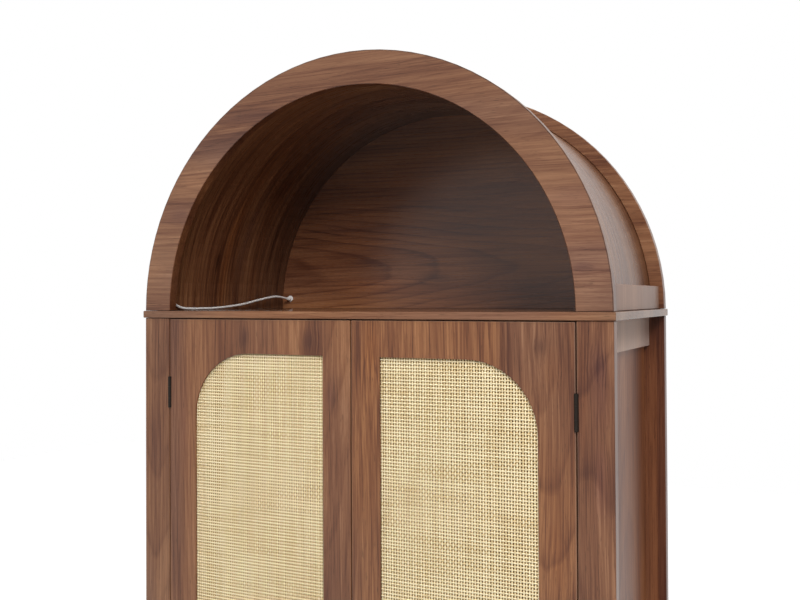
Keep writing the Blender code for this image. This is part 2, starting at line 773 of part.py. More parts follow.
def build_hinges(name, side, pivot, stile, door):
    """Three butt hinges let into the edges of the stile and the door, each with two leaves and a pin."""
    axis_x = side * HINGE_AXIS_X
    heights = hinge_heights()
    half = HINGE_LENGTH / 2
    frame_knuckle = half - DOOR_KNUCKLE_LENGTH / 2 - KNUCKLE_GAP
    leaf_front = FRONT + KNUCKLE_BORE
    leaf_back = leaf_front + HINGE_LEAF_WIDTH

    notches = [((axis_x, FRONT, z), HINGE_LENGTH + 2 * SEAT) for z in heights.values()]
    notch_name = "barrel_notches_" + name
    barrel_notches = add_cutter(
        notch_name, rods_mesh(notch_name, notches, KNUCKLE_RADIUS + 2 * SEAT, "Z", KNUCKLE_SIDES)
    )
    bores = [(middle, 2 * length) for middle, length in notches]
    bore_name = "pin_bores_" + name
    pin_bores = add_cutter(bore_name, rods_mesh(bore_name, bores, KNUCKLE_BORE, "Z", KNUCKLE_SIDES))

    leaf_spans = {
        "frame": across(side, STILE_INNER, STILE_INNER + HINGE_LEAF_THICKNESS),
        "door": across(side, DOOR_OUTER - HINGE_LEAF_THICKNESS, DOOR_OUTER),
    }
    for part, wood in (("frame", stile), ("door", door)):
        x_low, x_high = leaf_spans[part]
        mortises = [
            (
                (x_low - SEAT, FRONT - CUT_OVERRUN, z - half - SEAT),
                (x_high + SEAT, leaf_back + SEAT, z + half + SEAT),
            )
            for z in heights.values()
        ]
        mortise_name = part + "_mortises_" + name
        cut(wood, barrel_notches, add_cutter(mortise_name, boxes_mesh(mortise_name, mortises)))

        for height_name, z in heights.items():
            outer_knuckles = [
                ((axis_x, FRONT, z + end * (half - frame_knuckle / 2)), frame_knuckle) for end in (-1, 1)
            ]
            middle_knuckle = [((axis_x, FRONT, z), DOOR_KNUCKLE_LENGTH)]
            own, other = outer_knuckles, middle_knuckle
            if part == "door":
                own, other = middle_knuckle, outer_knuckles
            leaf_name = "_".join(("hinge", part, "leaf", name, height_name))
            plate = boxes_mesh(leaf_name, [((x_low, leaf_front, z - half), (x_high, leaf_back, z + half))])
            leaf = add_piece(leaf_name, plate, BLACK_METAL)
            clear = [(middle, length + 2 * KNUCKLE_GAP) for middle, length in other]
            clearance = add_cutter(
                leaf_name + "_clearance",
                rods_mesh(leaf_name, clear, KNUCKLE_RADIUS + SEAT, "Z", KNUCKLE_SIDES),
            )
            knuckles = add_cutter(
                leaf_name + "_knuckles", rods_mesh(leaf_name, own, KNUCKLE_RADIUS, "Z", KNUCKLE_SIDES)
            )
            cut(leaf, clearance)
            combine(leaf, knuckles, "UNION")
            cut(leaf, pin_bores)
            if part == "door":
                on_pivot(leaf, pivot)

    for height_name, z in heights.items():
        pin_name = "_".join(("hinge_pin", name, height_name))
        pin = [((0, 0, 0), HINGE_LENGTH)]
        mesh = rods_mesh(pin_name, pin, KNUCKLE_BORE - SEAT, "Z", KNUCKLE_SIDES)
        add_piece(pin_name, mesh, STEEL, (axis_x, FRONT, z))


def build_latch(name, side, pivot):
    """Touch latch with a sprung plunger, and the strike plate that it meets on the door."""
    x = side * LATCH_OFFSET
    z = CASE_TOP - LATCH_HEIGHT / 2
    strike_front = DOOR_BACK + SEAT
    strike_back = strike_front + STRIKE_THICKNESS
    tip = strike_back + SEAT
    housing_front = tip + PLUNGER_REACH
    half = LATCH_WIDTH / 2
    low = (x - half, housing_front, CASE_TOP - LATCH_HEIGHT)
    high = (x + half, housing_front + LATCH_LENGTH, CASE_TOP)
    housing = add_piece(
        "latch_housing_" + name,
        boxes_mesh("latch_housing_" + name, [(low, high)]),
        DARK_PLASTIC,
    )
    bore_depth = PLUNGER_HELD + PLUNGER_TRAVEL + SEAT
    bore = add_cutter(
        "plunger_bore_" + name,
        rods_mesh(
            "plunger_bore_" + name,
            [((x, housing_front, z), 2 * bore_depth)],
            PLUNGER_RADIUS + SEAT,
            "Y",
            LATCH_SIDES,
        ),
    )
    ease_edges(housing)
    cut(housing, bore)
    plunger_length = PLUNGER_REACH + PLUNGER_HELD
    add_piece(
        "latch_plunger_" + name,
        rods_mesh("latch_plunger_" + name, [((0, 0, 0), plunger_length)], PLUNGER_RADIUS, "Y", LATCH_SIDES),
        WHITE_PLASTIC,
        (x, tip + plunger_length / 2, z),
    )
    strike = rods_mesh(
        "strike_plate_" + name,
        [((x, (strike_front + strike_back) / 2, z), STRIKE_THICKNESS)],
        STRIKE_RADIUS,
        "Y",
        LATCH_SIDES,
    )
    on_pivot(add_piece("strike_plate_" + name, strike, STEEL), pivot)


def build_doors(stiles):
    for name, side in SIDES.items():
        pivot = add_pivot("door_axis_" + name, Vector((side * HINGE_AXIS_X, FRONT, DOOR_BOTTOM)))
        door = build_door(name, side, pivot)
        build_hinges(name, side, pivot, stiles["front_" + name], door)
        build_latch(name, side, pivot)


def main():
    pegs, peg_holes = build_pegs()
    back_panel = build_arch(pegs)
    build_mid_board(peg_holes)
    build_light(back_panel)
    stiles, side_panels = build_case(peg_holes)
    build_shelves(side_panels)
    build_doors(stiles)


main()
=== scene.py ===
"""Looks of the arched cane cabinet: walnut finishes, woven cane, screws, the light's lead and a studio.

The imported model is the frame. Everything here is in metres, in the frame's own axes: the front faces -Y.
"""

import json
import math
import random

import bmesh
import bpy
from mathutils import Matrix, Vector

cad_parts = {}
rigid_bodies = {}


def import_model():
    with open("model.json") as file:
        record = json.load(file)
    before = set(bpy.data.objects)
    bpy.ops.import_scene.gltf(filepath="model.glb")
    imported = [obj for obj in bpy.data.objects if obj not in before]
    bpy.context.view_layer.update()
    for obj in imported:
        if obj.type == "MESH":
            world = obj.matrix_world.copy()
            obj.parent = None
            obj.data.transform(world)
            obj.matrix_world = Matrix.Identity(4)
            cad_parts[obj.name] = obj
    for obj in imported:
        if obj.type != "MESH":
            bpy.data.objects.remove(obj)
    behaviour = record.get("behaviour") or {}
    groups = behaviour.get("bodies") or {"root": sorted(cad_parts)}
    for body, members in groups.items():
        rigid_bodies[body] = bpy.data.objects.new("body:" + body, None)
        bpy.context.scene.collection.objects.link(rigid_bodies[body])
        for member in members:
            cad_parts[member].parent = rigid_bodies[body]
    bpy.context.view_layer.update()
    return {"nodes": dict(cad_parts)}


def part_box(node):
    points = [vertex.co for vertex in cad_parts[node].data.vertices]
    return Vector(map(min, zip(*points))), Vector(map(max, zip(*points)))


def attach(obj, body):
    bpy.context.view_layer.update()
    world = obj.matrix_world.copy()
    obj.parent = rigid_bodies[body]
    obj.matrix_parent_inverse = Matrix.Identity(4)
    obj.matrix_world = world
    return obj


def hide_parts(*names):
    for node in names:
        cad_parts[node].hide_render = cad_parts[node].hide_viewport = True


SIDES = {"left": -1, "right": 1}
HINGE_NAMES = ("top", "middle", "bottom")

# Picture, and the camera that was fitted to it
PICTURE_WIDTH = 800
PICTURE_HEIGHT = 600
SENSOR_WIDTH = 36.0
FOCAL_PIXELS = 954.762
OPTICAL_CENTRE_X = 359.073
OPTICAL_CENTRE_Y = 284.314
CAMERA_PLACE = (0.686787, -1.490128, 1.419103)
CAMERA_YAW = 0.478907
CAMERA_PITCH = 0.0149728
CAMERA_ROLL = 0.00433545

# Studio. The floor's glow grows from its middle to the fade distance, so that the shadow of the object
# shows and the far floor is white.
WHITE = (1.0, 1.0, 1.0, 1.0)
FLOOR_HALF_SIZE = 6.0
FLOOR_COLOUR = (0.62, 0.62, 0.61)
FLOOR_ROUGHNESS = 0.8
FLOOR_GLOW_NEAR = 0.34
FLOOR_GLOW_FAR = 0.78
FLOOR_FADE = 3.0
SURROUND_LIGHT = 0.22
LIGHT_TARGET = (0.0, 0.0, 1.4)
# Place, size and power of each soft light
SOFT_LIGHTS = {
    "key": ((1.85, -3.2, 3.45), 1.4, 118.0),
    "top": ((0.0, -2.2, 4.6), 2.5, 58.0),
    "left_fill": ((-3.0, -2.0, 2.2), 2.0, 26.0),
    "back_fill": ((0.6, 3.2, 3.0), 2.0, 64.0),
}

# Woven cane: upright warp and level weft. A strand lifts and dips at the crossings, and is flat for a
# share of the pitch on each side of them. A share of its thickness lies behind the middle of the weave,
# and its place and width stray by a share of the width.
WARP_PITCH = 0.00423
WEFT_PITCH = 0.00493
WARP_WIDTH = 0.0029
WEFT_WIDTH = 0.0028
STRAND_THICKNESS = 0.0004
STRAND_LIFT = 0.00022
STRAND_FLAT = 0.22
STRAND_BACK = 0.35
STRAND_STRAY = 0.06
STRAND_SEED = 11
CANE_CORNER_RADIUS = 0.1147

# Lead of the light strip: distance from the left wall of the vault at its foot, distance behind the
# front ring and height above the thin board. A seat is the small gap between a piece and its neighbour.
LEAD_ROUTE = (
    (0.0049, 0.0056, 0.0370),
    (0.0040, 0.0068, 0.0272),
    (0.0038, 0.0096, 0.0188),
    (0.0042, 0.0144, 0.0119),
    (0.0049, 0.0222, 0.0071),
    (0.0056, 0.0338, 0.0042),
    (0.0066, 0.0522, 0.0030),
    (0.0077, 0.0770, 0.0028),
    (0.0093, 0.1181, 0.0032),
    (0.0109, 0.1623, 0.0055),
    (0.0124, 0.2005, 0.0087),
    (0.0133, 0.2273, 0.0122),
    (0.0143, 0.2552, 0.0166),
    (0.0157, 0.2915, 0.0217),
    (0.0165, 0.3183, 0.0241),
    (0.0171, 0.3389, 0.0232),
)
VAULT_THICKNESS = 0.012
STRIP_END_HEIGHT = 0.060
END_CAP_LENGTH = 0.012
END_CAP_THICKNESS = 0.007
LEAD_RADIUS = 0.0021
SEAT = 0.0003
LEAD_POINT_SPACING = 0.006
LEAD_BEVEL_STEPS = 4

# Screws. The rim of the head and the cross recess are shares of its radius, and turns are in degrees.
SCREW_RADIUS = 0.0030
SCREW_PROUD = 0.0004
SCREW_RECESS = 0.0003
SCREW_SIDES = 24
SCREW_RIM = 0.84
CROSS_REACH = 0.60
CROSS_HALF_WIDTH = 0.14
HINGE_SCREW_OFFSET = 0.017
HINGE_SCREW_DEPTH = 0.0105
BACK_SCREW_INSET = 0.008
BACK_SCREW_ROWS = 6
ARCH_SCREW_INSET = 0.012
ARCH_SCREW_COUNT = 9
ARCH_SCREW_FIRST_TURN = 14
ARCH_SCREW_TURN = 19
SHARP_ANGLE = 30

# Dark strip of painted shade in the joint under the back of the niche, a little deeper at half height than
# at its corners
SHADE_FILL_END_INSET = 0.014
SHADE_FILL_HALF_DEPTH = 0.0020
SHADE_FILL_CORNER_HALF_DEPTH = 0.0017

# Single faces and edges of the boards: a darker band along the outer edge of the rear stiles, dark rim of
# the front ring, painted shade with a warm cast on the ring's inner face, painted shade and a painted dark
# reflection
#  on the floor of the niche, and painted highlights, paler lines, along some edges
OUTER_BAND_EDGE = 0.3868
OUTER_BAND_SHADE = (0.72, 0.70, 0.82)
RING_WIDTH = 0.052
RIM_WIDTH = 0.0014
RIM_INSET = 0.6 * RIM_WIDTH
FACE_DEPTH = 0.0005
RIM_SHADE = (0.45, 0.45, 0.48)
INNER_FACE_PAINTED_SHADE = (0.80, 0.64, 0.50)
NICHE_FLOOR_PAINTED_SHADE = (0.52, 0.46, 0.42)
EDGE_HIGHLIGHT_WIDTH = 0.0012
EDGE_HIGHLIGHT_SHARE = 0.22
EDGE_HIGHLIGHT_COLOUR = (0.44, 0.30, 0.22)

# Side rails of the arch and of the case, with a matt bloom. Their tints lighten and grey them: painted
# reflection of the pale glare that they show at a flat angle
RAIL_NODES = {
    "arch_rail_": ("arch_side_rail_",),
    "case_rails_": ("side_top_rail_", "side_bottom_rail_"),
}
RAIL_GLARE_TINTS = {"arch_rail_": (1.15, 1.14, 1.12), "case_rails_": (1.55, 1.70, 1.85)}
RAIL_VEILS = {"arch_rail_": 0.22, "case_rails_": 0.75}
VEIL_ROUGHNESS = 0.3
VEIL_COLOUR = (1.0, 0.96, 0.92)


# Scene

def clear_scene():
    for item in list(bpy.data.objects):
        bpy.data.objects.remove(item)


clear_scene()
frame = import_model()
NODES = frame["nodes"]


def place_camera():
    """Camera of the picture: turned by yaw, pitch and roll, with the optical centre off the middle."""
    right = Vector((math.cos(CAMERA_YAW), math.sin(CAMERA_YAW), 0.0))
    level = Vector((-math.sin(CAMERA_YAW), math.cos(CAMERA_YAW), 0.0))
    upright = Vector((0.0, 0.0, 1.0))
    forward = level * math.cos(CAMERA_PITCH) + upright * math.sin(CAMERA_PITCH)
    up = upright * math.cos(CAMERA_PITCH) - level * math.sin(CAMERA_PITCH)
    across = right * math.cos(CAMERA_ROLL) - up * math.sin(CAMERA_ROLL)
    above = right * math.sin(CAMERA_ROLL) + up * math.cos(CAMERA_ROLL)
    data = bpy.data.cameras.new("camera")
    data.sensor_width = SENSOR_WIDTH
    data.lens = FOCAL_PIXELS * SENSOR_WIDTH / PICTURE_WIDTH
    data.shift_x = (PICTURE_WIDTH / 2 - OPTICAL_CENTRE_X) / PICTURE_WIDTH
    data.shift_y = (OPTICAL_CENTRE_Y - PICTURE_HEIGHT / 2) / PICTURE_WIDTH
    camera = bpy.data.objects.new("camera", data)
    bpy.context.scene.collection.objects.link(camera)
    turn = Matrix((across, above, -forward)).transposed().to_4x4()
    camera.matrix_world = Matrix.Translation(CAMERA_PLACE) @ turn
    bpy.context.scene.camera = camera


# Short calls for wiring nodes

def put(tree, socket, value):
    """Set a socket to a number or colour, or link it to another node's output."""
    if isinstance(value, bpy.types.NodeSocket):
        tree.links.new(value, socket)
    else:
        socket.default_value = value


def calc(tree, operation, first, second=0.5, third=0.5):
    step = tree.nodes.new("ShaderNodeMath")
    step.operation = operation
    for socket, value in zip(step.inputs, (first, second, third)):
        put(tree, socket, value)
    return step.outputs[0]


def slant(tree, first, second):
    """Length of the slope over two legs at right angles."""
    squares = calc(tree, "MULTIPLY_ADD", first, first, calc(tree, "MULTIPLY", second, second))
    return calc(tree, "SQRT", squares)


def scaled(tree, vector, scale):
    step = tree.nodes.new("ShaderNodeVectorMath")
    step.operation = "MULTIPLY"
    put(tree, step.inputs[0], vector)
    put(tree, step.inputs[1], scale)
    return step.outputs[0]


def moved(tree, vector, offset):
    step = tree.nodes.new("ShaderNodeVectorMath")
    step.operation = "ADD"
    put(tree, step.inputs[0], vector)
    put(tree, step.inputs[1], offset)
    return step.outputs[0]


def noise(tree, vector, scale, detail=2.0, roughness=0.5, output="Fac"):
    """Noise of a vector that is first scaled along each axis, in features per metre."""
    step = tree.nodes.new("ShaderNodeTexNoise")
    step.noise_dimensions = "3D"
    put(tree, step.inputs["Vector"], scaled(tree, vector, scale))
    step.inputs["Scale"].default_value = 1.0
    step.inputs["Detail"].default_value = detail
    step.inputs["Roughness"].default_value = roughness
    return step.outputs[output]


def ramp(tree, factor, stops):
    """Colours or greys along a factor. Each stop is a place and a colour."""
    step = tree.nodes.new("ShaderNodeValToRGB")
    points = step.color_ramp.elements
    while len(points) < len(stops):
        points.new(1.0)
    for point, (place, colour) in zip(points, stops):
        point.position = place
        point.color = (*colour, 1.0) if isinstance(colour, tuple) else (colour, colour, colour, 1.0)
    put(tree, step.inputs["Fac"], factor)
    return step.outputs["Color"]


def mixed(tree, blend, factor, first, second):
    step = tree.nodes.new("ShaderNodeMix")
    step.data_type = "RGBA"
    step.blend_type = blend
    put(tree, step.inputs["Factor"], factor)
    put(tree, step.inputs["A"], first)
    put(tree, step.inputs["B"], second)
    return step.outputs["Result"]


def tinted(tree, colour, factor, tint):
    return mixed(tree, "MULTIPLY", factor, colour, (*tint, 1.0))


def spread(tree, factor, low, high):
    """A factor from 0 to 1, brought to the stretch from low to high."""
    step = tree.nodes.new("ShaderNodeMapRange")
    put(tree, step.inputs["Value"], factor)
    step.inputs["To Min"].default_value = low
    step.inputs["To Max"].default_value = high
    return step.outputs["Result"]


def new_material(name):
    material = bpy.data.materials.new(name)
    material.use_nodes = True
    return material, material.node_tree, material.node_tree.nodes["Principled BSDF"]


def bumped(tree, shader, height, distance, strength=1.0):
    step = tree.nodes.new("ShaderNodeBump")
    step.inputs["Strength"].default_value = strength
    step.inputs["Distance"].default_value = distance
    put(tree, step.inputs["Height"], height)
    put(tree, shader.inputs["Normal"], step.outputs["Normal"])


def object_place(tree):
    return tree.nodes.new("ShaderNodeTexCoord").outputs["Object"]


def object_axes(tree):
    parts = tree.nodes.new("ShaderNodeSeparateXYZ")
    put(tree, parts.inputs[0], object_place(tree))
    return parts.outputs


def joined(tree, sockets):
    step = tree.nodes.new("ShaderNodeCombineXYZ")
    for socket, value in zip(step.inputs, sockets):
        put(tree, socket, value)
    return step.outputs[0]


# Walnut

# Figure of the wood. Scales are in features per metre across the grain, through the board and along it.
# Wanders and the ripple have a scale and a reach. Thin lines have a scale, the levels of noise at which
# they start to show and show in full, and a weight. Light and dark zones have a scale, detail and weight.
BROAD_WANDER = ((5.0, 5.0, 1.2), 0.032)
NARROW_WANDER = ((20.0, 20.0, 3.0), 0.008)
RIPPLE = ((70.0, 70.0, 12.0), 0.0011)
RINGS_PER_METRE = 160.0
RING_TONES = ((0.0, 0.60), (0.30, 0.64), (0.74, 0.46), (0.92, 0.12), (1.0, 0.50))
RING_SHOW_SCALE = (16.0, 16.0, 2.5)
LINE_SHOW_SCALE = (28.0, 28.0, 3.5)
LINE_FADE = ((0.0, 1.0), (0.035, 0.0))
THIN_LINES = (
    ((125.0, 125.0, 1.8), 0.40, 0.62, -0.18),
    ((140.0, 140.0, 1.5), 0.58, 0.66, 0.12),
)
ZONES = (
    ((13.0, 13.0, 1.9), 2.0, 1.18),
    ((46.0, 46.0, 2.4), 1.0, 0.32),
)
STREAK_SCALE = (200.0, 200.0, 3.2)
STREAK_ROUGHNESS = 0.55
STREAK_WEIGHT = 0.50
FIBRE_SCALE = (470.0, 470.0, 7.0)
FIBRE_ROUGHNESS = 0.6
FIBRE_WEIGHT = 0.85
WOOD_COLOURS = (
    (0.12, (0.078, 0.026, 0.013)),
    (0.30, (0.125, 0.046, 0.022)),
    (0.50, (0.184, 0.077, 0.037)),
    (0.70, (0.245, 0.111, 0.054)),
    (0.88, (0.315, 0.158, 0.082)),
)
STAIN_SCALE = (10.0, 10.0, 2.0)
STAIN_STRENGTHS = ((0.52, 0.0), (0.70, 0.8))
STAIN_SHADE = (0.66, 0.68, 0.88)
PORE_SCALE = (1200.0, 1200.0, 60.0)
PORE_TONES = ((0.28, 0.35), (0.36, 1.0))
PORE_SHARE = 0.6
PORE_DEPTH = 0.5

# Boards: step from slice to slice of the figure, place and slope of a heart that is far off, how much the
# polish varies, and relief of the grain
SLICE_STEP = (0.731, 0.417, 1.377)
FAR_HEART = 0.9
FAR_HEART_STEP = 0.05
FAR_HEART_SLOPE = 0.02
DULL_POLISH = 0.06
BRIGHT_POLISH = 0.04
RELIEF_DEPTH = 0.00006
RELIEF_STRENGTH = 0.5

# First slice of the figure for the boards of each side
SIDE_CUTS = {"left": 12, "right": 18}

# Which axes run across the grain, through the board and along the grain
GRAIN_AXES = {"x": "zyx", "z": "xyz", "side": "yxz", "flat": "yzx"}

FRONT_RING_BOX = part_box("front_arch_ring")
RING_OUTER = FRONT_RING_BOX[1].x
ARCH_BASE = FRONT_RING_BOX[1].z - RING_OUTER
VAULT_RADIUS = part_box("arch_vault")[1].x

# Noise that makes the outlines of the marks stray
MARK_STRAY_SCALE = (70.0, 16.0, 1.0)
MARK_STRAY_ROUGHNESS = 0.6
MARK_STRAY_SPREAD = 2.4
MARK_STRAY_START = -0.2

# Knots, stains and pale stretches of the boards, and a few stretches of painted shade: place across and
# along the grain, half width, half
#  length, shade, and how far the grain swells round the mark
MARKS = {
    "front_ring": (
        (1.562, -0.326, 0.016, 0.030, (0.74, 0.71, 0.84), 0.4),
        (1.495, -0.355, 0.022, 0.030, (0.87, 0.88, 0.92), 0.0),
        (1.619, -0.296, 0.024, 0.050, (1.26, 1.31, 1.29), 0.0),
        (1.715, -0.190, 0.010, 0.070, (0.74, 0.71, 0.82), 0.3),
        # Painted shade on the top of the ring, which the top light brightens
        (1.775, 0.080, 0.030, 0.130, (0.97, 0.98, 0.99), 0.0),
        (1.560, 0.345, 0.016, 0.050, (0.82, 0.78, 0.86), 0.3),
        (1.461, 0.358, 0.007, 0.016, (0.72, 0.68, 0.78), 0.4),
        (1.455, 0.372, 0.042, 0.060, (1.31, 1.39, 1.44), 0.0),
        (1.510, 0.348, 0.034, 0.050, (1.30, 1.40, 1.50), 0.0),
    ),
    "niche_back": (
        (1.458, -0.020, 0.008, 0.026, (0.60, 0.56, 0.62), 0.6),
        (1.447, -0.140, 0.016, 0.070, (1.22, 1.14, 1.00), 0.2),
        (1.560, -0.200, 0.012, 0.100, (0.74, 0.70, 0.78), 0.2),
        # Painted shade on the top of the back, under the ring
        (1.730, -0.100, 0.070, 0.400, (0.74, 0.80, 0.86), 0.0),
    ),
    "mid_board": (
        (-0.2, -0.370, 0.5, 0.130, (0.62, 0.66, 0.81), 0.0),
        (-0.2, 0.210, 0.5, 0.130, (1.17, 1.20, 1.16), 0.0),
        (-0.2, 0.400, 0.5, 0.035, (0.84, 0.89, 0.98), 0.0),
    ),
    "vault": (
        (-0.0475, 1.096, 0.007, 0.018, (0.40, 0.36, 0.42), 0.7),
        (-0.0230, 1.060, 0.012, 0.150, (1.34, 1.24, 1.00), 0.0),
        (0.0250, 1.030, 0.013, 0.220, (0.62, 0.58, 0.68), 0.0),
        (0.0750, 1.050, 0.012, 0.160, (1.10, 1.06, 1.00), 0.0),
        # Painted shade towards the back of the vault, in the corner
        (0.1750, 0.700, 0.110, 0.700, (0.48, 0.50, 0.60), 0.0),
    ),
    "door_left": (
        (-0.194, 1.357, 0.008, 0.018, (0.60, 0.57, 0.66), 0.6),
        (-0.075, 1.354, 0.011, 0.018, (0.64, 0.61, 0.70), 0.6),
        (-0.036, 1.270, 0.009, 0.024, (0.70, 0.66, 0.76), 0.4),
        (-0.318, 1.220, 0.010, 0.080, (0.80, 0.74, 0.80), 0.2),
    ),
    "door_right": (
        (0.298, 1.352, 0.008, 0.014, (0.58, 0.53, 0.56), 0.6),
        (0.316, 1.320, 0.014, 0.030, (1.12, 1.10, 1.02), 0.2),
        (0.034, 1.345, 0.012, 0.055, (1.24, 1.22, 1.06), 0.0),
        (0.036, 1.150, 0.024, 0.200, (1.12, 1.13, 1.05), 0.0),
        (0.320, 1.060, 0.012, 0.060, (1.14, 1.10, 0.98), 0.3),
    ),
    "front_stile_left": (
        (-0.380, 1.180, 0.012, 0.070, (0.80, 0.76, 0.84), 0.2),
    ),
    "front_stile_right": (
        (0.381, 1.328, 0.010, 0.020, (0.72, 0.66, 0.80), 0.5),
        (0.380, 1.300, 0.016, 0.050, (0.80, 0.74, 0.86), 0.2),
        (0.380, 1.175, 0.011, 0.055, (0.76, 0.68, 0.80), 0.3),
        (0.358, 1.290, 0.006, 0.080, (1.18, 1.14, 1.04), 0.0),
    ),
}


def walnut_figure():
    """Node group: figure of sliced walnut. Its vector runs across, through and along the grain.

    Distance is how far a point lies from the heart of the log, in metres.
    """
    group = bpy.data.node_groups.new("walnut_figure", "ShaderNodeTree")
    group.interface.new_socket("Vector", in_out="INPUT", socket_type="NodeSocketVector")
    for name in ("Distance", "Tone", "Contrast", "Rings"):
        group.interface.new_socket(name, in_out="INPUT", socket_type="NodeSocketFloat")
    group.interface.new_socket("Color", in_out="OUTPUT", socket_type="NodeSocketColor")
    group.interface.new_socket("Height", in_out="OUTPUT", socket_type="NodeSocketFloat")
    start = group.nodes.new("NodeGroupInput")
    end = group.nodes.new("NodeGroupOutput")
    place = start.outputs["Vector"]

    def swing(vector, scale, reach):
        """Sideways wander of the grain, up to half the reach either way."""
        wander = noise(group, vector, scale, detail=1.0, output="Color")
        return scaled(group, moved(group, wander, (-0.5, -0.5, -0.5)), (reach, reach, 0.0))

    def layered(tone, grey, weight):
        return calc(group, "MULTIPLY_ADD", calc(group, "SUBTRACT", grey, 0.5), weight, tone)

    bend = moved(group, swing(place, *BROAD_WANDER), swing(place, *NARROW_WANDER))
    wavy = moved(group, place, bend)
    ripple = swing(wavy, *RIPPLE)
    fine = moved(group, wavy, ripple)

    parts = group.nodes.new("ShaderNodeSeparateXYZ")
    put(group, parts.inputs[0], moved(group, bend, ripple))
    distance = calc(group, "ADD", start.outputs["Distance"], parts.outputs[0])
    ring = calc(group, "FRACT", calc(group, "MULTIPLY", distance, RINGS_PER_METRE))
    ring_tone = calc(group, "SUBTRACT", ramp(group, ring, RING_TONES), 0.5)
    ring_part = calc(group, "MULTIPLY", ring_tone, noise(group, wavy, RING_SHOW_SCALE, detail=1.0))

    def lines(scale, show_from, show_to):
        """Thin lines along the grain, which show only in some stretches of the board."""
        middle = calc(group, "SUBTRACT", noise(group, fine, scale, detail=0.0), 0.5)
        line = ramp(group, calc(group, "ABSOLUTE", middle), LINE_FADE)
        stretches = noise(group, wavy, LINE_SHOW_SCALE, detail=1.0)
        return calc(group, "MULTIPLY", line, ramp(group, stretches, ((show_from, 0.0), (show_to, 1.0))))

    streaks = noise(group, fine, STREAK_SCALE, roughness=STREAK_ROUGHNESS)
    fibre = noise(group, fine, FIBRE_SCALE, roughness=FIBRE_ROUGHNESS)
    tone = calc(group, "MULTIPLY", ring_part, start.outputs["Rings"])
    for scale, detail, weight in ZONES:
        tone = layered(tone, noise(group, wavy, scale, detail), weight)
    tone = layered(tone, streaks, STREAK_WEIGHT)
    tone = layered(tone, fibre, FIBRE_WEIGHT)
    for scale, show_from, show_to, weight in THIN_LINES:
        tone = calc(group, "MULTIPLY_ADD", lines(scale, show_from, show_to), weight, tone)
    tone = calc(group, "MULTIPLY_ADD", tone, start.outputs["Contrast"], start.outputs["Tone"])
    stain = ramp(group, noise(group, wavy, STAIN_SCALE, detail=1.0), STAIN_STRENGTHS)
    colour = tinted(group, ramp(group, tone, WOOD_COLOURS), stain, STAIN_SHADE)
    pore = noise(group, fine, PORE_SCALE, detail=1.0)
    pored = mixed(group, "MULTIPLY", PORE_SHARE, colour, ramp(group, pore, PORE_TONES))
    height = calc(group, "ADD", fibre, calc(group, "MULTIPLY", pore, PORE_DEPTH))
    put(group, end.inputs["Color"], pored)
    put(group, end.inputs["Height"], height)
    return group


FIGURE = walnut_figure()


def arch_radius(tree, x, z):
    return slant(tree, x, calc(tree, "SUBTRACT", z, ARCH_BASE))


def grain_axes(tree, grain):
    """Object place as sockets that run across the grain, through the board and along the grain.

    A round grain follows the vault.
    """
    x, y, z = object_axes(tree)
    if grain == "round":
        turn = calc(tree, "ARCTAN2", calc(tree, "SUBTRACT", z, ARCH_BASE), x)
        return y, arch_radius(tree, x, z), calc(tree, "MULTIPLY", turn, VAULT_RADIUS)
    sockets = {"x": x, "y": y, "z": z}
    return tuple(sockets[axis] for axis in GRAIN_AXES[grain])


def darkened_outer_band(tree, colour):
    """Darker band along the outer edge of a rear stile."""
    edge = calc(tree, "GREATER_THAN", calc(tree, "ABSOLUTE", object_axes(tree)[0]), OUTER_BAND_EDGE)
    return tinted(tree, colour, edge, OUTER_BAND_SHADE)


def rimmed(tree, colour):
    """Dark rim along the outer edge of the ring's front face, and painted shade with a warm cast of
    bounced light on its inner face.
    """
    x, y, z = object_axes(tree)
    radius = arch_radius(tree, x, z)
    outer = calc(tree, "COMPARE", radius, RING_OUTER - RIM_INSET, RIM_WIDTH / 2)
    inner = calc(tree, "LESS_THAN", radius, RING_OUTER - RING_WIDTH + RIM_WIDTH / 2)
    front = calc(tree, "LESS_THAN", y, FRONT_RING_BOX[0].y + FACE_DEPTH)
    colour = tinted(tree, colour, calc(tree, "MULTIPLY", outer, front), RIM_SHADE)
    return tinted(tree, colour, inner, INNER_FACE_PAINTED_SHADE)


def shaded_niche_floor(tree, colour):
    """Painted shade and a painted dark reflection of the back on the top of the board under the arch, the
    floor of the niche.
    """
    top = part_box("mid_board")[1].z
    near = calc(tree, "GREATER_THAN", object_axes(tree)[2], top - FACE_DEPTH)
    return tinted(tree, colour, near, NICHE_FLOOR_PAINTED_SHADE)


def edge_highlights(node, edges):
    """Finish for a board with painted highlights, paler lines along some of its edges, where an eased edge
    catches the light.
    """
    low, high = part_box(node)

    def paint_highlight(tree, colour):
        x, _, z = object_axes(tree)
        distances = {
            "left": calc(tree, "SUBTRACT", x, low.x),
            "right": calc(tree, "SUBTRACT", high.x, x),
            "top": calc(tree, "SUBTRACT", high.z, z),
        }
        for edge in edges:
            near = calc(tree, "LESS_THAN", distances[edge], EDGE_HIGHLIGHT_WIDTH)
            share = calc(tree, "MULTIPLY", near, EDGE_HIGHLIGHT_SHARE)
            colour = mixed(tree, "MIX", share, colour, (*EDGE_HIGHLIGHT_COLOUR, 1.0))
        return colour

    return paint_highlight


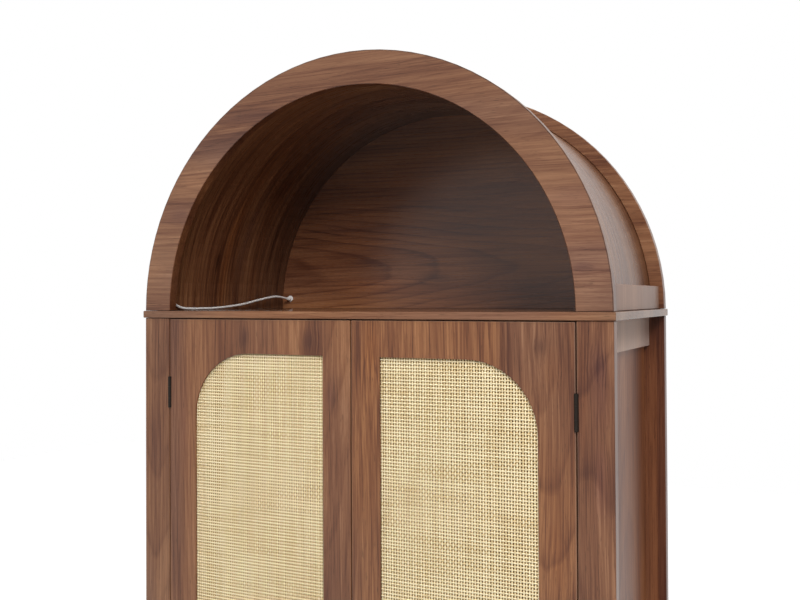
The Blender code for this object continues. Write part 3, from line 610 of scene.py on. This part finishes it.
def add_marks(tree, across, along, marks):
    """Place across the grain, pulled so that the grain swells round marks, and each mark's strength."""
    face = joined(tree, (across, along, 0.0))
    stray = noise(tree, face, MARK_STRAY_SCALE, roughness=MARK_STRAY_ROUGHNESS)
    stretch = calc(tree, "MULTIPLY_ADD", stray, MARK_STRAY_SPREAD, MARK_STRAY_START)
    pulled = across
    strengths = []
    for middle, height, half_width, half_length, shade, swell in marks:
        aside = calc(tree, "SUBTRACT", across, middle)
        beyond = calc(tree, "SUBTRACT", along, height)
        wide = calc(tree, "MULTIPLY", aside, 1 / half_width)
        long = calc(tree, "MULTIPLY", beyond, 1 / half_length)
        reach = calc(tree, "MULTIPLY_ADD", wide, wide, calc(tree, "MULTIPLY", long, long))
        reach = calc(tree, "MULTIPLY", reach, stretch)
        near = calc(tree, "EXPONENT", calc(tree, "MULTIPLY", reach, -1.0))
        pulled = calc(tree, "MULTIPLY_ADD", calc(tree, "MULTIPLY", aside, near), -swell, pulled)
        strengths.append((near, shade))
    return pulled, strengths


def walnut(
    name, grain, cut, heart=None, roughness=0.34, tone=0.5, contrast=1.0, coarse=1.0, rings=0.5,
    tint=(1.0, 1.0, 1.0), edges=None, veil=0.0, gloss=0.38,
):
    """Lacquered walnut. The cut picks another slice of the figure.

    The heart of the log is given by its place across the grain, by where along the grain it meets the
    face of the board, and by its slope. Without it the figure is nearly straight. The tone is lighter
    above 0.5 and darker below it, coarse widens the figure and rings strengthens the growth rings. Edges
    is a function that colours single faces or edges. A veil is the pale bloom that a matt face shows at
    a flat angle.
    """
    material, tree, shader = new_material("walnut_" + name)
    across, through, along = grain_axes(tree, grain)
    across, strengths = add_marks(tree, across, along, MARKS.get(name, ()))
    middle, meeting, slope = heart or (FAR_HEART + FAR_HEART_STEP * cut, 0.0, FAR_HEART_SLOPE)
    aside = calc(tree, "SUBTRACT", across, middle)
    deep = calc(tree, "MULTIPLY_ADD", calc(tree, "SUBTRACT", along, meeting), slope, through)
    offset = tuple(step * cut for step in SLICE_STEP)
    slice_place = moved(tree, joined(tree, (across, through, along)), offset)
    figure = tree.nodes.new("ShaderNodeGroup")
    figure.node_tree = FIGURE
    put(tree, figure.inputs["Vector"], scaled(tree, slice_place, (1 / coarse, 1 / coarse, 1 / coarse)))
    put(tree, figure.inputs["Distance"], slant(tree, aside, deep))
    put(tree, figure.inputs["Tone"], tone)
    put(tree, figure.inputs["Contrast"], contrast)
    put(tree, figure.inputs["Rings"], rings)
    colour = tinted(tree, figure.outputs["Color"], 1.0, tint)
    for near, shade in strengths:
        colour = tinted(tree, colour, near, shade)
    if edges:
        colour = edges(tree, colour)
    put(tree, shader.inputs["Base Color"], colour)
    height = figure.outputs["Height"]
    polish = spread(tree, height, roughness + DULL_POLISH, roughness - BRIGHT_POLISH)
    put(tree, shader.inputs["Roughness"], polish)
    shader.inputs["Specular IOR Level"].default_value = gloss
    shader.inputs["Sheen Weight"].default_value = veil
    shader.inputs["Sheen Roughness"].default_value = VEIL_ROUGHNESS
    shader.inputs["Sheen Tint"].default_value = (*VEIL_COLOUR, 1.0)
    bumped(tree, shader, height, RELIEF_DEPTH, RELIEF_STRENGTH)
    return material


def dress(node, material):
    """Give a CAD node its finish."""
    mesh = NODES[node].data
    mesh.materials.clear()
    mesh.materials.append(material)


def dress_arch():
    dress("front_arch_ring", walnut(
        "front_ring", "x", 1, heart=(1.63, 0.7, 0.045), contrast=0.85, tint=(0.99, 1.05, 1.12),
        edges=rimmed,
    ))
    dress("rear_arch_ring", walnut("rear_ring", "x", 2, heart=(1.55, -0.7, 0.045)))
    # The vault and the back of the niche take warmer tints: in part the wood's tone and in part painted
    # warm light bounced round the niche
    dress("arch_vault", walnut(
        "vault", "round", 3, heart=(0.05, 1.6, 0.03), roughness=0.30, contrast=1.4, coarse=1.7,
        tint=(0.95, 0.89, 0.79),
    ))
    dress("arch_back_panel", walnut(
        "niche_back", "x", 4, heart=(1.475, 0.42, 0.055), roughness=0.30, contrast=0.95, rings=0.9,
        tint=(1.28, 1.16, 1.01), gloss=0.55,
    ))
    dress("mid_board", walnut(
        "mid_board", "flat", 5, roughness=0.17, contrast=0.6, tint=(1.48, 1.67, 1.80), edges=shaded_niche_floor,
        gloss=0.1,
    ))


def dress_case():
    dress("lower_back_panel", walnut("case_back", "z", 6, heart=(0.02, 1.9, 0.04)))
    for number, node in enumerate(("shelf_1", "shelf_2", "shelf_3", "bottom_board")):
        dress(node, walnut(node, "flat", 7 + number, heart=(0.03 * number, 0.8, 0.04)))
    rails = walnut("bottom_rails", "x", 11)
    dress("front_bottom_rail", rails)
    dress("rear_bottom_rail", rails)
    tints = {"left": (0.94, 0.94, 0.92), "right": (0.93, 0.90, 0.90)}
    highlighted_edges = {"left": (), "right": ("left",)}
    for side_name, side in SIDES.items():
        cut = SIDE_CUTS[side_name]
        front_stile = "front_stile_" + side_name
        dress(front_stile, walnut(
            front_stile, "z", cut, heart=(side * 0.374, 1.50, 0.045), contrast=1.2, tint=tints[side_name],
            edges=edge_highlights(front_stile, highlighted_edges[side_name]),
        ))
        rear_stile = "rear_stile_" + side_name
        dress(rear_stile, walnut(rear_stile, "z", cut + 1, tint=(0.92, 0.76, 0.65), edges=darkened_outer_band))
        for kind, nodes in RAIL_NODES.items():
            rail = walnut(
                kind + side_name, "side", cut + 2, roughness=0.46, tone=0.60, contrast=0.5,
                tint=RAIL_GLARE_TINTS[kind], veil=RAIL_VEILS[kind],
            )
            for node in nodes:
                dress(node + side_name, rail)
        panel = "side_panel_" + side_name
        dress(panel, walnut(
            panel, "side", cut + 3, heart=(0.03, 1.8, 0.04), roughness=0.40, tint=(1.0, 0.80, 0.62),
        ))


def dress_doors():
    hearts = {"left": (-0.062, 1.60, 0.042), "right": (0.301, 1.58, 0.042)}
    tints = {"left": (0.98, 0.93, 0.86), "right": (1.23, 1.20, 1.05)}
    highlighted_edges = {"left": ("top",), "right": ("left", "right", "top")}
    for side_name in SIDES:
        board = "door_board_" + side_name
        door = walnut(
            "door_" + side_name, "z", SIDE_CUTS[side_name] + 4, heart=hearts[side_name], contrast=1.2,
            tint=tints[side_name], edges=edge_highlights(board, highlighted_edges[side_name]),
        )
        dress(board, door)
        dress("cane_bead_" + side_name, door)


# Fittings

# Noise levels at which a grained material has its first and its second colour
GRAIN_LEVELS = (0.3, 0.7)
PLASTIC_GRAIN = (900.0, 900.0, 900.0)
PLASTIC_DULLING = 0.88
PLASTIC_BUMP = 0.00002


def grained(name, scale, colours, roughness, bump=0.0, constants=None):
    """Material with a fine grain between two colours and two roughnesses.

    The constants are set directly on the shader.
    """
    material, tree, shader = new_material(name)
    grain = noise(tree, object_place(tree), scale)
    put(tree, shader.inputs["Base Color"], ramp(tree, grain, tuple(zip(GRAIN_LEVELS, colours))))
    put(tree, shader.inputs["Roughness"], spread(tree, grain, *roughness))
    for socket, value in (constants or {}).items():
        shader.inputs[socket].default_value = value
    if bump:
        bumped(tree, shader, grain, bump)
    return material


def plastic(name, colour, roughness):
    dull = tuple(PLASTIC_DULLING * part for part in colour)
    return grained(name, PLASTIC_GRAIN, (dull, colour), roughness, PLASTIC_BUMP)


WHITE_PLASTIC = plastic("white_plastic", (0.80, 0.79, 0.77), (0.25, 0.38))
DARK_PLASTIC = plastic("dark_plastic", (0.045, 0.042, 0.040), (0.40, 0.53))
# Dark fill: painted shade on the floors of the screws' cross recesses and in the joint under the back of
# the niche
DARK_SHADE_FILL = plastic("painted_shade_fill", (0.030, 0.022, 0.018), (0.80, 0.93))
BLACK_METAL = grained(
    "black_hinge_metal",
    scale=(1500.0, 1500.0, 1500.0),
    colours=((0.010, 0.007, 0.005), (0.020, 0.015, 0.011)),
    roughness=(0.50, 0.62),
    bump=0.00003,
    constants={"Specular IOR Level": 0.18},
)
STEEL = grained(
    "plain_steel",
    scale=(2500.0, 300.0, 300.0),
    colours=(0.46, 0.60),
    roughness=(0.24, 0.38),
    constants={"Metallic": 1.0},
)
# Sheath of the lead, pale and pearly
SILVERED = grained(
    "silvered_sheath",
    scale=(500.0, 700.0, 500.0),
    colours=((0.92, 0.90, 0.88), (1.00, 0.99, 0.98)),
    roughness=(0.22, 0.34),
    bump=0.00004,
    constants={"IOR": 2.0},
)


def dress_fittings():
    for node in ("led_strip", "led_end_cap"):
        dress(node, WHITE_PLASTIC)
    for node in ("lead_plug", "lead_inlet"):
        dress(node, SILVERED)
    for side in SIDES:
        dress("latch_housing_" + side, DARK_PLASTIC)
        dress("latch_plunger_" + side, WHITE_PLASTIC)
        dress("strike_plate_" + side, STEEL)
        for height in HINGE_NAMES:
            tail = "_".join((side, height))
            dress("hinge_frame_leaf_" + tail, BLACK_METAL)
            dress("hinge_door_leaf_" + tail, BLACK_METAL)
            dress("hinge_pin_" + tail, BLACK_METAL)


def add_piece(name, mesh, materials, body):
    for material in materials:
        mesh.materials.append(material)
    piece = bpy.data.objects.new(name, mesh)
    bpy.context.scene.collection.objects.link(piece)
    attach(piece, body)
    return piece


def finished_mesh(name, shape):
    """Mesh of a bmesh, shaded smooth but for its sharp edges."""
    bmesh.ops.recalc_face_normals(shape, faces=shape.faces)
    mesh = bpy.data.meshes.new(name)
    shape.to_mesh(mesh)
    shape.free()
    mesh.shade_smooth()
    mesh.set_sharp_from_angle(angle=math.radians(SHARP_ANGLE))
    return mesh


def cross_outline(reach, half_width):
    """Outline of a cross recess, anticlockwise."""
    corners = []
    for turn in range(4):
        angle = turn * math.pi / 2
        for x, y in ((reach, -half_width), (reach, half_width), (half_width, half_width)):
            corners.append((
                x * math.cos(angle) - y * math.sin(angle),
                x * math.sin(angle) + y * math.cos(angle),
            ))
    return corners


def add_screw_head(shape, place, normal):
    """Low screw head with a cross recess, standing on a face at a place along the normal."""
    turn = Vector(normal).to_track_quat("Z", "Y").to_matrix().to_4x4()
    to_place = Matrix.Translation(place) @ turn

    def ring(points, height):
        return [shape.verts.new(to_place @ Vector((x, y, height))) for x, y in points]

    circle = []
    for step in range(SCREW_SIDES):
        angle = 2 * math.pi * step / SCREW_SIDES
        circle.append((SCREW_RADIUS * math.cos(angle), SCREW_RADIUS * math.sin(angle)))
    inner_circle = [(SCREW_RIM * x, SCREW_RIM * y) for x, y in circle]
    cross = cross_outline(CROSS_REACH * SCREW_RADIUS, CROSS_HALF_WIDTH * SCREW_RADIUS)
    foot = ring(circle, 0.0)
    rim = ring(inner_circle, SCREW_PROUD)
    mouth = ring(cross, SCREW_PROUD)
    floor = ring(cross, SCREW_PROUD - SCREW_RECESS)
    for low, high in ((foot, rim), (floor, mouth)):
        for step in range(len(low)):
            following = (step + 1) % len(low)
            shape.faces.new((low[step], low[following], high[following], high[step]))
    # The floor of the cross recess takes the second, dark material: painted shade in the recess
    shape.faces.new(floor).material_index = 1
    shape.faces.new(list(reversed(foot)))
    edges = []
    for loop in (rim, mouth):
        for step in range(len(loop)):
            pair = (loop[step], loop[(step + 1) % len(loop)])
            edges.append(shape.edges.get(pair) or shape.edges.new(pair))
    bmesh.ops.triangle_fill(shape, edges=edges, use_beauty=True)


def add_screws(name, spots, metal, body):
    """One piece of screw heads. Each spot is a place and the direction that its head faces."""
    shape = bmesh.new()
    for place, normal in spots:
        add_screw_head(shape, Vector(place), normal)
    add_piece(name, finished_mesh(name, shape), (metal, DARK_SHADE_FILL), body)


def hinge_screws(name, side):
    """Screws of the frame leaves and the door leaves, which are seen when the door is open."""
    stile_low, stile_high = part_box("front_stile_" + name)
    door_low, door_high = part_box("door_board_" + name)
    depth = door_low.y + HINGE_SCREW_DEPTH
    stile_face = stile_low.x if side > 0 else stile_high.x
    door_face = door_high.x if side > 0 else door_low.x
    frame_spots = []
    door_spots = []
    for height in HINGE_NAMES:
        low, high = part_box("_".join(("hinge_frame_leaf", name, height)))
        for offset in (-HINGE_SCREW_OFFSET, HINGE_SCREW_OFFSET):
            z = (low.z + high.z) / 2 + offset
            frame_spots.append(((stile_face, depth, z), (-side, 0, 0)))
            door_spots.append(((door_face, depth, z), (side, 0, 0)))
    add_screws("frame_hinge_screws_" + name, frame_spots, BLACK_METAL, "case")
    add_screws("door_hinge_screws_" + name, door_spots, BLACK_METAL, "door_" + name)


def back_screws():
    """Screws that hold the two back panels to the frame, seen from behind."""
    spots = []
    low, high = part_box("lower_back_panel")
    inset = BACK_SCREW_INSET
    for row in range(BACK_SCREW_ROWS):
        z = low.z + inset + (high.z - low.z - 2 * inset) * row / (BACK_SCREW_ROWS - 1)
        for x in (low.x + inset, high.x - inset):
            spots.append(((x, high.y, z), (0, 1, 0)))
    low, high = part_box("arch_back_panel")
    radius = high.x - ARCH_SCREW_INSET
    for step in range(ARCH_SCREW_COUNT):
        turn = math.radians(ARCH_SCREW_FIRST_TURN + ARCH_SCREW_TURN * step)
        place = (radius * math.cos(turn), high.y, ARCH_BASE + radius * math.sin(turn))
        spots.append((place, (0, 1, 0)))
    add_screws("back_screws", spots, STEEL, "case")


def niche_shade_fill():
    """Dark strip in the joint under the back of the niche, so that no light comes through it: painted
    shade in the joint.
    """
    low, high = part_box("arch_back_panel")
    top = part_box("mid_board")[1].z
    half = (low.z - top) / 2
    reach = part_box("rear_arch_ring")[1].x - SHADE_FILL_END_INSET
    middle_y = (low.y + high.y) / 2
    deep, corner = SHADE_FILL_HALF_DEPTH, SHADE_FILL_CORNER_HALF_DEPTH
    profile = (
        (-deep, 0.0),
        (-corner, half),
        (corner, half),
        (deep, 0.0),
        (corner, -half),
        (-corner, -half),
    )
    shape = bmesh.new()
    ends = []
    for x in (-reach, reach):
        ends.append([shape.verts.new((x, middle_y + y, top + half + z)) for y, z in profile])
    first, second = ends
    for step in range(len(profile)):
        following = (step + 1) % len(profile)
        shape.faces.new((first[step], first[following], second[following], second[step]))
    shape.faces.new(list(reversed(first)))
    shape.faces.new(second)
    mesh = finished_mesh("niche_shade_fill", shape)
    add_piece("niche_shade_fill", mesh, (DARK_SHADE_FILL,), "case")


# Woven cane

# Colour of the strands from the front of the weave to its back, as seen from in front and from behind:
# painted shade, browner and darker deep in the weave, where shade falls between the strands
CANE_SHADE_FROM_FRONT = (
    (0.0, (1.00, 0.91, 0.69)),
    (0.30, (1.00, 0.86, 0.57)),
    (0.55, (0.95, 0.71, 0.35)),
    (0.85, (0.69, 0.41, 0.12)),
)
CANE_SHADE_FROM_BEHIND = (
    (0.48, (0.74, 0.52, 0.24)),
    (0.75, (0.94, 0.78, 0.47)),
    (1.0, (1.00, 0.90, 0.64)),
)
# Tone from strand to strand and along a strand, and fibres of the cane
TONES_PER_STRAND = 0.6
TONES_PER_METRE = 9.0
STRAND_SCALES = {
    "warp": (TONES_PER_STRAND / WARP_PITCH, 1.0, TONES_PER_METRE),
    "weft": (TONES_PER_METRE, 1.0, TONES_PER_STRAND / WEFT_PITCH),
}
STRAND_TONES = ((0.30, (0.84, 0.77, 0.66)), (0.55, (1.00, 1.00, 1.00)))
CANE_FIBRE_SCALE = (700.0, 700.0, 700.0)
CANE_FIBRE_WEIGHT = 0.3
CANE_ROUGHNESS = (0.42, 0.60)
CANE_BUMP = 0.00005


def cane_colour(name, strand_scale, shade_stops):
    """Split cane with painted shade, browner and darker with its depth in the weave, and a little
    different from strand to strand.
    """
    material, tree, shader = new_material(name)
    place = object_place(tree)
    low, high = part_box("cane_panel_left")
    front = (low.y + high.y) / 2 - STRAND_LIFT - (1 - STRAND_BACK) * STRAND_THICKNESS
    reach = STRAND_THICKNESS + 2 * STRAND_LIFT
    depth = calc(tree, "MULTIPLY", calc(tree, "SUBTRACT", object_axes(tree)[1], front), 1 / reach)
    depth_shade = ramp(tree, depth, shade_stops)
    fibre = noise(tree, place, CANE_FIBRE_SCALE)
    strand = noise(tree, place, strand_scale, detail=1.0)
    tone = calc(tree, "MULTIPLY_ADD", calc(tree, "SUBTRACT", fibre, 0.5), CANE_FIBRE_WEIGHT, strand)
    strand_colour = ramp(tree, tone, STRAND_TONES)
    put(tree, shader.inputs["Base Color"], mixed(tree, "MULTIPLY", 1.0, depth_shade, strand_colour))
    put(tree, shader.inputs["Roughness"], spread(tree, fibre, *CANE_ROUGHNESS))
    bumped(tree, shader, fibre, CANE_BUMP)
    return material


CANE = {
    kind: (
        cane_colour(kind + "_front", scale, CANE_SHADE_FROM_FRONT),
        cane_colour(kind + "_behind", scale, CANE_SHADE_FROM_BEHIND),
    )
    for kind, scale in STRAND_SCALES.items()
}


def cane_reach(low, high, side, along, value):
    """Ends of a strand on the cane panel, whose corners are round on the hinge side."""
    radius = CANE_CORNER_RADIUS
    outer = high[0] if side > 0 else -low[0]
    inner = low[0] if side > 0 else -high[0]
    if along == "z":
        over = max(0.0, side * value - (outer - radius))
        rise = radius - math.sqrt(max(0.0, radius ** 2 - over ** 2))
        return low[1] + rise, high[1] - rise
    over = max(0.0, value - (high[1] - radius), low[1] + radius - value)
    reach = outer - radius + math.sqrt(max(0.0, radius ** 2 - over ** 2))
    return tuple(sorted((side * inner, side * reach)))


def weave_stations(start, end, first, phase, pitch):
    """Places along a strand with its lift: in front of one crossing strand and behind the next."""
    stations = [(start, 0.0)]
    crossing = math.ceil((start - first) / pitch)
    while first + crossing * pitch < end:
        centre = first + crossing * pitch
        lift = STRAND_LIFT if (crossing + phase) % 2 else -STRAND_LIFT
        for offset in (-STRAND_FLAT * pitch, STRAND_FLAT * pitch):
            if start < centre + offset < end:
                stations.append((centre + offset, lift))
        crossing += 1
    stations.append((end, 0.0))
    return stations


def strand_mesh(name, strands, along, width, pitch, first, middle):
    """One mesh of cane strands, flat behind and ridged in front, each a little off its place and width.

    Each strand has its place across, its two ends and the phase of its weave. The pitch and the first
    place are those of the strands that it crosses. The flat backs have the second material.
    """
    stray = random.Random(STRAND_SEED)
    back = STRAND_THICKNESS * STRAND_BACK
    points = []
    faces = []
    finishes = []
    for across, start, end, phase in strands:
        across += stray.uniform(-STRAND_STRAY, STRAND_STRAY) * width
        half = width / 2 * (1 + stray.uniform(-STRAND_STRAY, STRAND_STRAY))
        section = ((-half, back), (0.0, back - STRAND_THICKNESS), (half, back))
        count = len(section)
        stations = weave_stations(start, end, first, phase, pitch)
        base = len(points)
        for place, lift in stations:
            for aside, proud in section:
                y = middle + lift + proud
                points.append((across + aside, y, place) if along == "z" else (place, y, across + aside))
        for step in range(len(stations) - 1):
            for turn in range(count):
                one = base + step * count + turn
                two = base + step * count + (turn + 1) % count
                faces.append((one, two, two + count, one + count))
                finishes.append(1 if turn == count - 1 else 0)
        last = base + (len(stations) - 1) * count
        faces.append(tuple(range(base + count - 1, base - 1, -1)))
        faces.append(tuple(range(last, last + count)))
        finishes.extend((0, 0))
    mesh = bpy.data.meshes.new(name)
    mesh.from_pydata(points, [], faces)
    mesh.polygons.foreach_set("material_index", finishes)
    shape = bmesh.new()
    shape.from_mesh(mesh)
    bmesh.ops.recalc_face_normals(shape, faces=shape.faces)
    shape.to_mesh(mesh)
    shape.free()
    mesh.shade_smooth()
    return mesh


def build_cane(name, side):
    """Plain weave of upright and level strands in the window of a door."""
    node = "cane_panel_" + name
    low_corner, high_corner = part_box(node)
    low, high = (low_corner.x, low_corner.z), (high_corner.x, high_corner.z)
    middle = (low_corner.y + high_corner.y) / 2
    warp_count = math.floor((high[0] - low[0]) / WARP_PITCH)
    weft_count = math.floor((high[1] - low[1]) / WEFT_PITCH)
    first_x = (low[0] + high[0] - (warp_count - 1) * WARP_PITCH) / 2
    first_z = (low[1] + high[1] - (weft_count - 1) * WEFT_PITCH) / 2
    warp = []
    for number in range(warp_count):
        x = first_x + number * WARP_PITCH
        warp.append((x, *cane_reach(low, high, side, "z", x), number % 2))
    weft = []
    for number in range(weft_count):
        z = first_z + number * WEFT_PITCH
        weft.append((z, *cane_reach(low, high, side, "x", z), (number + 1) % 2))
    meshes = {
        "warp": strand_mesh("cane_warp_" + name, warp, "z", WARP_WIDTH, WEFT_PITCH, first_z, middle),
        "weft": strand_mesh("cane_weft_" + name, weft, "x", WEFT_WIDTH, WARP_PITCH, first_x, middle),
    }
    for kind, mesh in meshes.items():
        piece = add_piece("_".join(("cane", kind, name)), mesh, CANE[kind], "door_" + name)
        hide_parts(node)


# Lead of the light

def smooth_points(stops, spacing):
    """Points along a smooth curve through the stops, about one spacing apart."""
    padded = [2 * stops[0] - stops[1], *stops, 2 * stops[-1] - stops[-2]]
    points = [stops[0]]
    for before, start, end, after in zip(padded, padded[1:], padded[2:], padded[3:]):
        count = max(1, round((end - start).length / spacing))
        for step in range(1, count + 1):
            t = step / count
            points.append(0.5 * (
                2 * start
                + (end - before) * t
                + (2 * before - 5 * start + 4 * end - after) * t ** 2
                + (3 * start - before - 3 * end + after) * t ** 3
            ))
    return points


def lead_ends():
    """Where the lead leaves the end cap of the strip, and where it meets its plug."""
    strip_low, strip_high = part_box("led_strip")
    strip_outer = strip_high.z - ARCH_BASE
    radius = strip_outer - END_CAP_THICKNESS / 2
    turn = math.asin(STRIP_END_HEIGHT / strip_outer)
    turn -= (SEAT + END_CAP_LENGTH) / strip_outer + SEAT / radius
    start = Vector((
        -radius * math.cos(turn),
        (strip_low.y + strip_high.y) / 2,
        ARCH_BASE + radius * math.sin(turn),
    ))
    plug_low, plug_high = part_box("lead_plug")
    end = Vector((
        (plug_low.x + plug_high.x) / 2,
        plug_low.y - SEAT,
        (plug_low.z + plug_high.z) / 2,
    ))
    return start, end


def build_lead():
    start, end = lead_ends()
    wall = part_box("arch_vault")[0].x + VAULT_THICKNESS
    behind = FRONT_RING_BOX[1].y
    board_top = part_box("mid_board")[1].z
    stops = [start]
    for inset, back, height in LEAD_ROUTE:
        stops.append(Vector((wall + inset, behind + back, board_top + height)))
    stops.append(end)
    points = smooth_points(stops, LEAD_POINT_SPACING)
    curve = bpy.data.curves.new("lead", "CURVE")
    curve.dimensions = "3D"
    curve.bevel_depth = LEAD_RADIUS
    curve.bevel_resolution = LEAD_BEVEL_STEPS
    curve.use_fill_caps = True
    spline = curve.splines.new("POLY")
    spline.points.add(len(points) - 1)
    for place, point in zip(spline.points, points):
        place.co = (*point, 1.0)
    spline.use_smooth = True
    curve.materials.append(SILVERED)
    lead = bpy.data.objects.new("lead", curve)
    bpy.context.scene.collection.objects.link(lead)
    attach(lead, "case")
    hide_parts("led_lead")


# Studio

def seen_rays(tree):
    """One for rays from the camera and for those seen in gloss or through glass, otherwise zero."""
    rays = tree.nodes.new("ShaderNodeLightPath")
    seen = calc(tree, "MAXIMUM", rays.outputs["Is Camera Ray"], rays.outputs["Is Glossy Ray"])
    return calc(tree, "MAXIMUM", seen, rays.outputs["Is Transmission Ray"])


def build_studio():
    scene = bpy.context.scene
    scene.view_settings.view_transform = "Standard"
    world = bpy.data.worlds.new("studio")
    scene.world = world
    world.use_nodes = True
    tree = world.node_tree
    background = tree.nodes["Background"]
    background.inputs["Color"].default_value = WHITE
    put(tree, background.inputs["Strength"], spread(tree, seen_rays(tree), SURROUND_LIGHT, 1.0))

    shape = bmesh.new()
    bmesh.ops.create_grid(shape, x_segments=1, y_segments=1, size=FLOOR_HALF_SIZE)
    mesh = bpy.data.meshes.new("floor")
    shape.to_mesh(mesh)
    shape.free()
    material, tree, shader = new_material("pale_floor")
    shader.inputs["Base Color"].default_value = (*FLOOR_COLOUR, 1.0)
    shader.inputs["Roughness"].default_value = FLOOR_ROUGHNESS
    shader.inputs["Emission Color"].default_value = WHITE
    x, y, _ = object_axes(tree)
    away = calc(tree, "MULTIPLY", slant(tree, x, y), 1 / FLOOR_FADE)
    glow = spread(tree, away, FLOOR_GLOW_NEAR, FLOOR_GLOW_FAR)
    put(tree, shader.inputs["Emission Strength"], calc(tree, "MULTIPLY", seen_rays(tree), glow))
    mesh.materials.append(material)
    floor = bpy.data.objects.new("floor", mesh)
    scene.collection.objects.link(floor)

    for name, (place, size, power) in SOFT_LIGHTS.items():
        data = bpy.data.lights.new(name, "AREA")
        data.size = size
        data.energy = power
        light = bpy.data.objects.new(name, data)
        light.location = place
        aim = Vector(LIGHT_TARGET) - Vector(place)
        light.rotation_euler = aim.to_track_quat("-Z", "Y").to_euler()
        light.visible_glossy = False
        scene.collection.objects.link(light)


def main():
    place_camera()
    build_studio()
    build_lead()
    dress_arch()
    dress_case()
    dress_doors()
    dress_fittings()
    for name, side in SIDES.items():
        build_cane(name, side)
        hinge_screws(name, side)
    back_screws()
    niche_shade_fill()


main()
